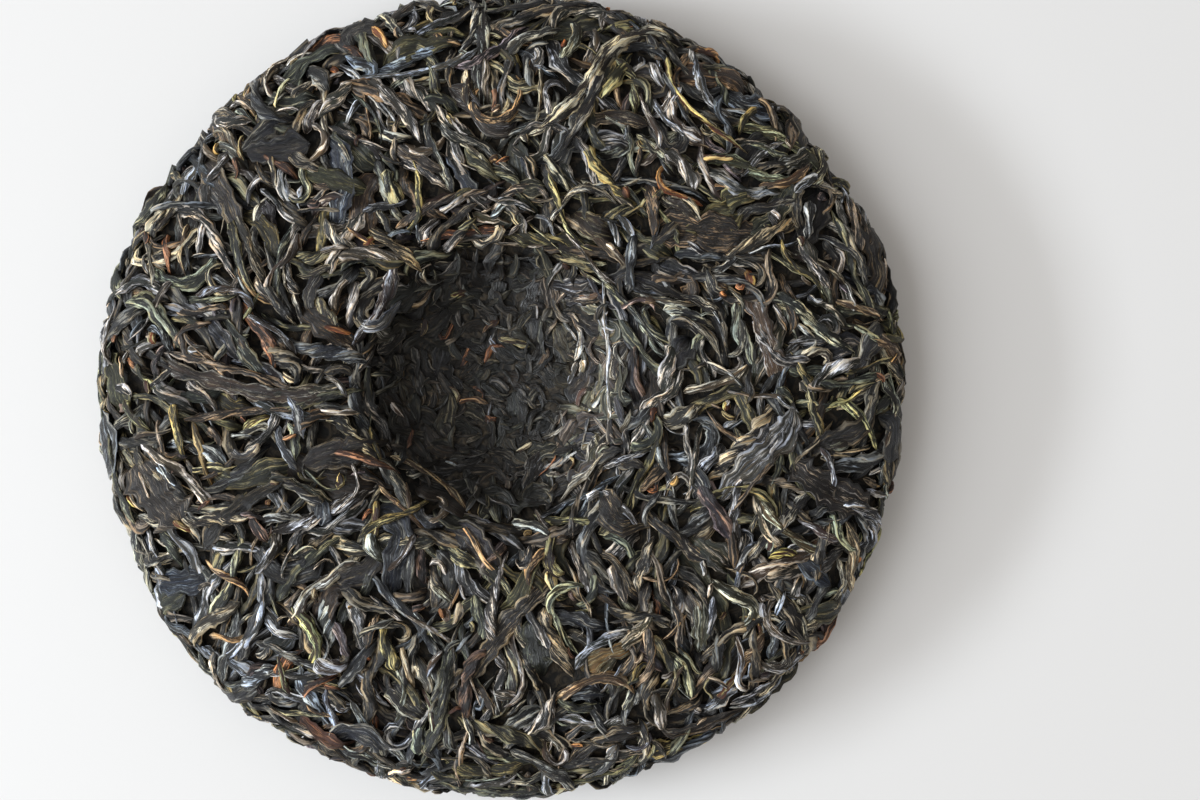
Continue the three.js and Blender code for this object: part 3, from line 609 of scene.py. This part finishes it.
UPPER_BROAD = 230
UPPER_ROLLED = 940
UPPER_BROKEN = 520
UPPER_OPEN = 75
UPPER_SMALL = 370
UPPER_STEMS = 150
UPPER_CRUMBS = 170
PIT_FLAKES = 170
PIT_SMALL = 170
PIT_TONES = ["dark"] * 4 + ["brown"] * 3 + ["green"] * 3 + ["olive"]
PIT_BITS = ["tan", "rust", "olive"]
PIT_ACCENTS = ("tan", "rust", "pink", "cream", "pale")
CRUMB_TONES = ["rust"] * 4 + ["orange"] * 2 + ["gold", "cream", "purple"] + ["tan"] * 3 + ["brown"] * 2
PALE_TONES = ["pale"] * 25 + ["tan"] * 15 + ["cream"] * 10
LOWER_BROAD = 180
LOWER_BROKEN = 280
LOWER_ROLLED = 320


def strands(count, run, rng):
    """Folds along a leaf, as heights from about -1 to 1. Most second lines of points are crests; each line
    rises and falls along the leaf by itself, and some crests run out into a neighbour."""
    crest = np.where(np.arange(count) % 2 == 0, 1, -1) * 1.6 * rng.random(count) ** 1.8
    pace = rng.uniform(0.12, 0.6, count)
    change = 0.55 + 0.45 * np.sin(run * pace + rng.uniform(0, 6.28, count))
    drift = 0.35 * np.sin(run * rng.uniform(0.3, 0.9) + np.arange(count) * rng.uniform(0.4, 1.4))
    return crest * change + drift


def pit_painted_shade_and_light(points):
    """Painted shade on the dimple's floor and painted light on its right wall: how bright the body and the ridges of a
    leaf are painted, and the share of its own tint that it keeps.
    """
    distance = np.hypot(points[..., 0], points[..., 1])
    # The right part of the wall faces the lights and is painted lighter; the rest of the dimple is painted darker, as
    # shade
    rightward = smoothstep(points[..., 0] / np.maximum(distance, 1), 0.2, 0.85)
    wall = rightward * smoothstep(distance, 15, 20) * (1 - smoothstep(distance, 27, 34))
    deep = (1 - smoothstep(distance, 29, 34)) * (1 - wall)
    body, ridges = (1 + deep * (low - 1) + wall * (high - 1) for low, high in zip(FLOOR_PAINTED_SHADE, WALL_PAINTED_LIGHT))
    return body[..., None], ridges[..., None], 1 - PIT_GREYNESS * (deep + wall)[..., None]


def greyed(colour, kept):
    """A linear colour with only a part of its tint."""
    brightness = float(colour @ (0.2126, 0.7152, 0.0722))
    return colour * kept + brightness * np.array(PIT_GREY) * (1 - kept)


def crumple(run, way, rng):
    """A small unevenness over a leaf, from waves that cross each other."""
    total = 0
    for _ in range(5):
        total = total + np.sin(run * rng.normal(0, 1.6) + way * rng.normal(0, 2.2) + rng.uniform(0, 6.28))
    return total / 5


def leaf_mesh(leaf, rng):
    """Points and attributes of one leaf: rings of points, each ring a closed section."""
    form = FORMS[leaf.form]
    rings = len(leaf.course)
    count = form["round"]
    u = np.linspace(0, 1, rings)[:, None]
    run = u * leaf.length
    taper = leaf.taper(u)
    uneven = 1 + 0.18 * np.sin(run * rng.uniform(0.3, 0.7) + rng.uniform(0, 6))
    uneven = uneven + 0.14 * np.sin(run * rng.uniform(1.0, 1.8) + rng.uniform(0, 6))
    half_width = leaf.width / 2 * taper * uneven
    half_thick = leaf.thickness / 2 * taper ** 0.7
    k = np.arange(count)
    folded = (0.35 + 0.95 * leaf.draw[3]) * min(1, 5 / leaf.width)
    if "top" in form:
        top = form["top"]
        lane = np.r_[np.linspace(-1, 1, top), np.linspace(1, -1, count - top + 2)[1:-1]]
        face = np.r_[np.full(top, 1.0), np.full(count - top, -1.0)]
        face[[0, top - 1]] = 0
        folds = strands(top, run, rng) + rng.normal(0, 0.12, (rings, top))
        under = np.array([np.interp(lane[top:], lane[:top], row) for row in folds])
        crease = np.hstack([folds, under])
        curl = rng.normal(0, 0.4, 2)
        cup = np.where(lane < 0, curl[0], curl[1]) * np.abs(lane) ** 2.5 * leaf.width / 5
        wave = 0.28 * np.sin(run * rng.uniform(0.25, 0.5) + rng.uniform(0, 6) + lane * rng.normal(0, 1.2))
        across = half_width * lane * (1 + 0.06 * rng.normal(0, 1, (rings, 1)))
        up = half_thick * 0.6 * face + (form["fold"] * folded * crease + cup + wave) * np.minimum(taper * 1.6, 1)
        crest = np.clip(0.27 + 0.5 * folded * crease + 0.45 * leaf.draw[7] * (np.abs(lane) > 0.8), 0, 1) * (face >= 0)
        round_about = lane * 1.4
        twist = 0
    else:
        twist = rng.normal(0, 0.13) * (run - leaf.length / 2)
        folds = strands(count, run, rng) + rng.normal(0, 0.14, (rings, count))
        radius = 1 + form["fold"] * folded * folds
        turn = 2 * math.pi * k / count + twist + rng.uniform(0, 6.28)
        across = half_width * np.cos(turn) * radius
        up = half_thick * np.sin(turn) * radius
        crest = np.clip(0.36 + 0.75 * folded * folds, 0, 1)
        round_about = 2 * math.pi * k / count
    up = up + 0.3 * crumple(run, np.cos(round_about), rng) * np.minimum(taper * 1.5, 1) * min(leaf.width / 3, 1)
    across = across * (1 + 0.16 * crumple(run, np.sin(round_about), rng))
    place, out = leaf.side.place(leaf.course)
    flat = flatness(leaf.side, np.hypot(leaf.course[:, 0], leaf.course[:, 1]))
    up = up * flat[:, None]
    dive = leaf.sinks[0] * (1 - smoothstep(run[:, 0], 0, leaf.length * 0.3))
    dive = dive + leaf.sinks[1] * (1 - smoothstep(leaf.length - run[:, 0], 0, leaf.length * 0.3))
    rise = pressed(leaf.carried + leaf.thickness / 2 * flat) - pressed(FULL_PILE) - dive * flat
    rise = rise + 0.16 * flat * np.sin(run[:, 0] * rng.uniform(0.5, 1.0) + rng.uniform(0, 6))
    rise = rise - 3 * smoothstep(np.hypot(leaf.course[:, 0], leaf.course[:, 1]), *leaf.side.edge)
    spine = place + out * rise[:, None]
    ahead = np.gradient(spine, axis=0)
    ahead /= np.linalg.norm(ahead, axis=1)[:, None]
    sideways = np.cross(ahead, out)
    sideways /= np.linalg.norm(sideways, axis=1)[:, None]
    up_way = np.cross(sideways, ahead)
    roll = rng.normal(0, 0.3) + rng.normal(0, 0.35) * np.sin(run * rng.uniform(0.1, 0.3) + rng.uniform(0, 6))
    roll = roll * (0.5 if "top" in form else 1)
    across, up = across * np.cos(roll) - up * np.sin(roll), across * np.sin(roll) + up * np.cos(roll)
    points = spine[:, None] + sideways[:, None] * across[:, :, None] + up_way[:, None] * up[:, :, None]
    wide = leaf.width / 2
    grain = np.stack([
        0.12 * run + 90 * leaf.draw[0] + 0 * across,
        wide * np.sin(round_about) + 60 * leaf.draw[1] + 0 * across,
        wide * np.cos(round_about) + 60 * leaf.draw[2] + 0 * across,
    ], axis=-1)
    base, edge, _ = TONES[leaf.tone]
    warm = np.array([1.02 + 0.26 * (leaf.draw[5] - 0.5), 1, 1.02 - 0.36 * (leaf.draw[5] - 0.5)])
    # Painted shade on the dimple's floor and painted light on its right wall, for leaves of the upper side
    body, ridges, kept = pit_painted_shade_and_light(points) if leaf.side is UPPER else (1, 1, 1)
    # Pale and reddish leaves take only part of that painted shade and light, and keep all their tint
    if leaf.tone in PIT_ACCENTS:
        body, ridges, kept = (1 + 0.4 * (body - 1), 1 + 0.55 * (ridges - 1), 1)
    # Painted shade: leaves mostly covered by others are painted darker, their ridges fully and their bodies in part
    painted_cover_shade = 0.4 + 0.6 * smoothstep(leaf.shows(), 0.35, 0.9)
    body_colour = linear(base) * (0.12 + 0.48 * leaf.draw[4]) * warm * BODY_TINT * (0.45 + 0.55 * painted_cover_shade)
    ridge_colour = np.minimum(linear(edge) * (0.9 + 4.2 * leaf.draw[6] ** 2), PALEST) * warm * painted_cover_shade
    if leaf.form == "broad":
        body_colour, ridge_colour = body_colour * BROAD_SHADES[0], ridge_colour * BROAD_SHADES[1]
    colour = np.broadcast_to(greyed(body_colour, kept) * body, points.shape)
    edge_colour = np.broadcast_to(greyed(ridge_colour, kept) * ridges, points.shape)
    return dict(
        points=shift_from_round(points.reshape(-1, 3)), rings=rings, count=count,
        grain=grain.reshape(-1, 3), tone=colour.reshape(-1, 3), edge=edge_colour.reshape(-1, 3),
        crest=np.broadcast_to(crest, points.shape[:2]).reshape(-1),
    )


def new_mesh(name, points, corners, sizes):
    mesh = bpy.data.meshes.new(name)
    mesh.vertices.add(len(points))
    mesh.vertices.foreach_set("co", (points * MM).astype(np.float32).ravel())
    mesh.loops.add(len(corners))
    mesh.loops.foreach_set("vertex_index", corners.astype(np.int32))
    mesh.polygons.add(len(sizes))
    mesh.polygons.foreach_set("loop_start", np.r_[0, np.cumsum(sizes)[:-1]].astype(np.int32))
    mesh.polygons.foreach_set("use_smooth", np.ones(len(sizes), bool))
    mesh.update(calc_edges=True)
    return mesh


def add_values(mesh, name, kind, key, values):
    layer = mesh.attributes.new(name, kind, "POINT")
    layer.data.foreach_set(key, values.astype(np.float32).ravel())


def add_baking_map(mesh, corner_uv):
    mesh.uv_layers.new(name="OFBake").data.foreach_set("uv", corner_uv.astype(np.float32).ravel())


def joined_leaves(name, leaves, material):
    """One piece with all its leaves. On the baking map each leaf has a rectangle of its own."""
    columns = max(math.ceil(math.sqrt(len(leaves) * 0.35)), 1)
    rows = math.ceil(len(leaves) / columns)
    parts = {key: [] for key in ("points", "grain", "tone", "edge", "crest", "corners", "sizes", "uv")}
    rng = np.random.default_rng(len(leaves))
    start = 0
    for number, leaf in enumerate(leaves):
        shape = leaf_mesh(leaf, rng)
        rings, count = shape["rings"], shape["count"]
        i, k = (a.ravel() for a in np.meshgrid(np.arange(rings - 1), np.arange(count), indexing="ij"))
        k_next = (k + 1) % count
        quads = np.c_[i * count + k, (i + 1) * count + k, (i + 1) * count + k_next, i * count + k_next]
        ends = np.r_[np.arange(count), np.arange(count)[::-1] + (rings - 1) * count]
        left = 0.04 + 0.92 * i / (rings - 1)
        right = 0.04 + 0.92 * (i + 1) / (rings - 1)
        low = 0.04 + 0.92 * k / count
        high = 0.04 + 0.92 * (k + 1) / count
        uv = np.stack([np.c_[left, right, right, left], np.c_[low, low, high, high]], axis=-1).reshape(-1, 2)
        rounds = 0.04 + 0.92 * np.arange(count) / count
        uv = np.vstack([uv, np.c_[np.full(count, 0.02), rounds], np.c_[np.full(count, 0.98), rounds[::-1]]])
        corner = np.array([number % columns, number // columns])
        parts["corners"].append(np.r_[quads.ravel(), ends] + start)
        parts["sizes"].append(np.r_[np.full(len(quads), 4), count, count])
        parts["uv"].append((uv + corner) / (columns, rows))
        for key in ("points", "grain", "tone", "edge", "crest"):
            parts[key].append(shape[key])
        start += rings * count
    joined = {key: np.concatenate(value) for key, value in parts.items()}
    mesh = new_mesh(name, joined["points"], joined["corners"], joined["sizes"])
    solid = np.ones((start, 1))
    add_values(mesh, "Tone", "FLOAT_COLOR", "color", np.hstack([joined["tone"], solid]))
    add_values(mesh, "Edge", "FLOAT_COLOR", "color", np.hstack([joined["edge"], solid]))
    add_values(mesh, "Crest", "FLOAT", "value", joined["crest"])
    add_values(mesh, "Grain", "FLOAT_VECTOR", "vector", joined["grain"])
    add_baking_map(mesh, joined["uv"])
    mesh.materials.append(material)
    piece = bpy.data.objects.new(name, mesh)
    bpy.context.scene.collection.objects.link(piece)
    return piece


def node(tree, kind, **inputs):
    new = tree.nodes.new(kind)
    for key, value in inputs.items():
        if hasattr(new, key):
            setattr(new, key, value)
        else:
            new.inputs[key.replace("_", " ")].default_value = value
    return new


def leaf_material(name, roughness):
    """Dry leaf: fine fibres and small folds along the leaf, paler on the folds, with brown patches."""
    material = bpy.data.materials.new(name)
    material.use_nodes = True
    tree = material.node_tree
    link = tree.links.new

    def math_node(operation, first, second, third=None):
        new = node(tree, "ShaderNodeMath", operation=operation)
        for socket, value in zip(new.inputs, (first, second, third)):
            if isinstance(value, bpy.types.NodeSocket):
                link(value, socket)
            elif value is not None:
                socket.default_value = value
        return new.outputs[0]

    def mapped(value, low, high, to_low, to_high):
        new = node(tree, "ShaderNodeMapRange", interpolation_type="SMOOTHSTEP")
        link(value, new.inputs["Value"])
        for socket, number in zip(("From Min", "From Max", "To Min", "To Max"), (low, high, to_low, to_high)):
            new.inputs[socket].default_value = number
        return new.outputs["Result"]

    shader = tree.nodes["Principled BSDF"]
    tone, edge, crest, grain = (node(tree, "ShaderNodeAttribute", attribute_name=name) for name in
                                ("Tone", "Edge", "Crest", "Grain"))
    fibres = node(tree, "ShaderNodeTexNoise", Scale=1.9, Detail=4.0, Roughness=0.75)
    folds = node(tree, "ShaderNodeTexNoise", Scale=1.6, Detail=3.0, Roughness=0.6, Distortion=0.3)
    patches = node(tree, "ShaderNodeTexNoise", Scale=1.1, Detail=3.0, Roughness=0.55)
    for texture in (fibres, folds, patches):
        link(grain.outputs["Vector"], texture.inputs["Vector"])
    away = math_node("ABSOLUTE", math_node("SUBTRACT", folds.outputs["Fac"], 0.5), None)
    fold = mapped(away, 0.0, 0.075, 1.0, 0.0)
    height = math_node("MULTIPLY_ADD", fold, 0.35, math_node("MULTIPLY", fibres.outputs["Fac"], 1.4))
    pale = math_node("ADD", math_node("MULTIPLY", crest.outputs["Fac"], 0.85), height)
    mix = node(tree, "ShaderNodeMix", data_type="RGBA")
    link(mapped(pale, 1.12, 1.5, 0.0, 1.0), mix.inputs["Factor"])
    link(tone.outputs["Color"], mix.inputs["A"])
    link(edge.outputs["Color"], mix.inputs["B"])
    dim = node(tree, "ShaderNodeVectorMath", operation="SCALE")
    link(mix.outputs["Result"], dim.inputs[0])
    link(mapped(patches.outputs["Fac"], 0.32, 0.68, 0.35, 1.6), dim.inputs["Scale"])
    channels = node(tree, "ShaderNodeSeparateColor")
    link(patches.outputs["Color"], channels.inputs["Color"])
    tint = node(tree, "ShaderNodeMix", data_type="RGBA")
    link(mapped(channels.outputs["Green"], 0.36, 0.64, 0.0, 1.0), tint.inputs["Factor"])
    tint.inputs["A"].default_value = (0.92, 0.98, 1.08, 1)
    tint.inputs["B"].default_value = (1.13, 1.02, 0.83, 1)
    tinted = node(tree, "ShaderNodeVectorMath", operation="MULTIPLY")
    link(dim.outputs["Vector"], tinted.inputs[0])
    link(tint.outputs["Result"], tinted.inputs[1])
    browned = node(tree, "ShaderNodeVectorMath", operation="MULTIPLY")
    link(tinted.outputs["Vector"], browned.inputs[0])
    browned.inputs[1].default_value = (1.35, 1.0, 0.62)
    patch = node(tree, "ShaderNodeMix", data_type="RGBA")
    link(mapped(folds.outputs["Fac"], 0.5, 0.68, 0.0, 0.8), patch.inputs["Factor"])
    link(tinted.outputs["Vector"], patch.inputs["A"])
    link(browned.outputs["Vector"], patch.inputs["B"])
    link(patch.outputs["Result"], shader.inputs["Base Color"])
    bump = node(tree, "ShaderNodeBump", Strength=0.9)
    bump.inputs["Distance"].default_value = 0.55 * MM
    link(height, bump.inputs["Height"])
    link(bump.outputs["Normal"], shader.inputs["Normal"])
    shader.inputs["Roughness"].default_value = roughness
    shader.inputs["Specular IOR Level"].default_value = 0.5
    return material


def core_material():
    """The dark mass of leaf between and below the leaves that show."""
    material = bpy.data.materials.new("pressed_mass")
    material.use_nodes = True
    tree = material.node_tree
    link = tree.links.new
    shader = tree.nodes["Principled BSDF"]
    place = node(tree, "ShaderNodeTexCoord")
    blotch = node(tree, "ShaderNodeTexNoise", Scale=300.0, Detail=6.0, Roughness=0.68, Distortion=1.4)
    link(place.outputs["Object"], blotch.inputs["Vector"])
    ramp = node(tree, "ShaderNodeValToRGB")
    ramp.color_ramp.elements[0].position = 0.46
    ramp.color_ramp.elements[0].color = (*linear((9, 9, 9)), 1)
    ramp.color_ramp.elements[1].position = 0.66
    ramp.color_ramp.elements[1].color = (*linear((72, 63, 50)), 1)
    link(blotch.outputs["Fac"], ramp.inputs["Fac"])
    link(ramp.outputs["Color"], shader.inputs["Base Color"])
    bump = node(tree, "ShaderNodeBump", Strength=0.8)
    bump.inputs["Distance"].default_value = 1.2 * MM
    link(blotch.outputs["Fac"], bump.inputs["Height"])
    link(bump.outputs["Normal"], shader.inputs["Normal"])
    shader.inputs["Roughness"].default_value = 0.8
    return material


def core_piece():
    """The pressed mass inside: the outside moved in by a full pile, with a leafy relief."""
    ring = np.vstack([flat_part, profile])
    out = np.gradient(ring, axis=0)
    out = np.c_[out[:, 1], -out[:, 0]]
    out /= np.hypot(*out.T)[:, None]
    keep = np.unique(np.r_[np.arange(2, len(ring) - 2, 5), len(ring) - 3])
    ring, out = ring[keep], out[keep]
    below = ring[:, 1:] < DIMPLE_FLOOR / 2
    base = np.where(below, under_base(ring[:, :1]), pit_base(ring[:, :1]))
    depth = pressed(FULL_PILE) + 0.1 + 0.3 * below - pressed(base)
    sides = 180
    angle = np.linspace(0, 2 * math.pi, sides, endpoint=False)[None, :]
    run = np.arange(len(ring))[:, None] * 2.0
    relief = 0.3 * ridge(run / 2.6 + 3 * np.sin(angle * 9)) + 0.3 * ridge(angle * 71 + 2.5 * np.sin(run / 7))
    relief = relief + 0.2 * np.sin(angle * 37 + run / 3.1)
    depth = depth - relief * smoothstep(ring[:, :1], 6, 20)
    radius = np.maximum(ring[:, :1] - out[:, :1] * depth, 0.2)
    height = ring[:, 1:] - out[:, 1:] * depth
    points = np.stack([radius * np.cos(angle), radius * np.sin(angle), height + 0 * angle], axis=-1)
    rings = len(ring)
    i, k = (a.ravel() for a in np.meshgrid(np.arange(rings - 1), np.arange(sides), indexing="ij"))
    k_next = (k + 1) % sides
    quads = np.c_[i * sides + k, i * sides + k_next, (i + 1) * sides + k_next, (i + 1) * sides + k]
    caps = np.r_[np.arange(sides)[::-1], np.arange(sides) + (rings - 1) * sides]
    corners = np.r_[quads.ravel(), caps]
    sizes = np.r_[np.full(len(quads), 4), sides, sides]
    mesh = new_mesh("tea_core", shift_from_round(points.reshape(-1, 3)), corners, sizes)
    left, right = k / sides, (k + 1) / sides
    low, high = 0.02 + 0.96 * i / rings, 0.02 + 0.96 * (i + 1) / rings
    uv = np.stack([np.c_[left, right, right, left], np.c_[low, low, high, high]], axis=-1).reshape(-1, 2)
    rounds = np.arange(sides) / sides
    uv = np.vstack([uv, np.c_[rounds[::-1], np.full(sides, 0.01)], np.c_[rounds, np.full(sides, 0.99)]])
    add_baking_map(mesh, uv)
    mesh.materials.append(core_material())
    piece = bpy.data.objects.new("tea_core", mesh)
    bpy.context.scene.collection.objects.link(piece)
    return piece


# Which tones make up each piece of leaves, with the piece's roughness
GROUPS = {
    "green_leaves": (("green",), 0.45),
    "dark_leaves": (("dark",), 0.4),
    "blue_leaves": (("blue",), 0.4),
    "brown_leaves": (("brown", "purple"), 0.45),
    "olive_leaves": (("olive", "gold"), 0.55),
    "pale_buds": (("pale", "silver", "cream"), 0.65),
    "tan_stems": (("tan", "pink"), 0.6),
    "rust_stems": (("rust", "orange"), 0.55),
}


def tea_pieces():
    leaves = lay_all()
    pieces = [core_piece()]
    for group, (tones, roughness) in GROUPS.items():
        material = leaf_material(group, roughness)
        for side, ending in ((UPPER, ""), (LOWER, "_below")):
            members = [leaf for leaf in leaves if leaf.tone in tones and leaf.side is side]
            if members:
                pieces.append(joined_leaves(group + ending, members, material))

    return pieces


def floor():
    size = 6.0
    mesh = bpy.data.meshes.new("floor")
    mesh.from_pydata([(-size, -size, 0), (size, -size, 0), (size, size, 0), (-size, size, 0)], [], [(0, 1, 2, 3)])
    material = bpy.data.materials.new("pale_table")
    material.use_nodes = True
    tree = material.node_tree
    shader = tree.nodes["Principled BSDF"]
    cloud = node(tree, "ShaderNodeTexNoise", Scale=1.5, Detail=2.0)
    ramp = node(tree, "ShaderNodeValToRGB")
    ramp.color_ramp.elements[0].color = (0.80, 0.795, 0.80, 1)
    ramp.color_ramp.elements[1].color = (0.83, 0.825, 0.825, 1)
    tree.links.new(cloud.outputs["Fac"], ramp.inputs["Fac"])
    tree.links.new(ramp.outputs["Color"], shader.inputs["Base Color"])
    shader.inputs["Roughness"].default_value = 0.55
    mesh.materials.append(material)
    table = bpy.data.objects.new("floor", mesh)
    bpy.context.scene.collection.objects.link(table)


def area_light(name, azimuth, elevation, distance, size, height, power, colour):
    """A light that faces the cake, from a direction given in degrees."""
    light = bpy.data.lights.new(name, "AREA")
    light.shape = "RECTANGLE"
    light.size = size
    light.size_y = height
    light.energy = power
    light.color = colour
    lamp = bpy.data.objects.new(name, light)
    across, up = math.radians(azimuth), math.radians(elevation)
    level = distance * math.cos(up)
    lamp.location = (level * math.cos(across), level * math.sin(across), distance * math.sin(up))
    lamp.rotation_euler = (math.pi / 2 - up, 0, across + math.pi / 2)
    bpy.context.scene.collection.objects.link(lamp)


def studio():
    """A low window on the left, its softer upper part, and a pale, slightly warm room, darker on the right."""
    area_light("window", 188, 20.5, 2.6, 1.1, 0.3, 60, (0.92, 0.98, 1.03))
    area_light("upper_window", 190, 45, 2.6, 2.4, 2.0, 38, (0.94, 0.985, 1.02))
    world = bpy.data.worlds.new("room")
    world.use_nodes = True
    tree = world.node_tree
    sky = tree.nodes["Background"]
    sky.inputs["Color"].default_value = (1.0, 0.95, 0.885, 1)
    towards = node(tree, "ShaderNodeTexCoord")
    axes = node(tree, "ShaderNodeSeparateXYZ")
    tree.links.new(towards.outputs["Generated"], axes.inputs["Vector"])
    strength = node(tree, "ShaderNodeMapRange")
    tree.links.new(axes.outputs["X"], strength.inputs["Value"])
    for socket, number in zip(("From Min", "From Max", "To Min", "To Max"), (-1, 1, *ROOM_STRENGTHS)):
        strength.inputs[socket].default_value = number
    tree.links.new(strength.outputs["Result"], sky.inputs["Strength"])
    scene = bpy.context.scene
    scene.world = world
    scene.view_settings.view_transform = "Standard"


def camera():
    data = bpy.data.cameras.new("camera")
    data.lens = LENS
    data.sensor_width = FILM_WIDTH
    data.clip_start = 0.01
    view = bpy.data.objects.new("camera", data)
    view.location = [value * MM for value in EYE]
    bpy.context.scene.collection.objects.link(view)
    bpy.context.scene.camera = view


camera()
studio()
floor()
for piece in tea_pieces():
    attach(piece, "root")
    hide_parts("tea_cake")
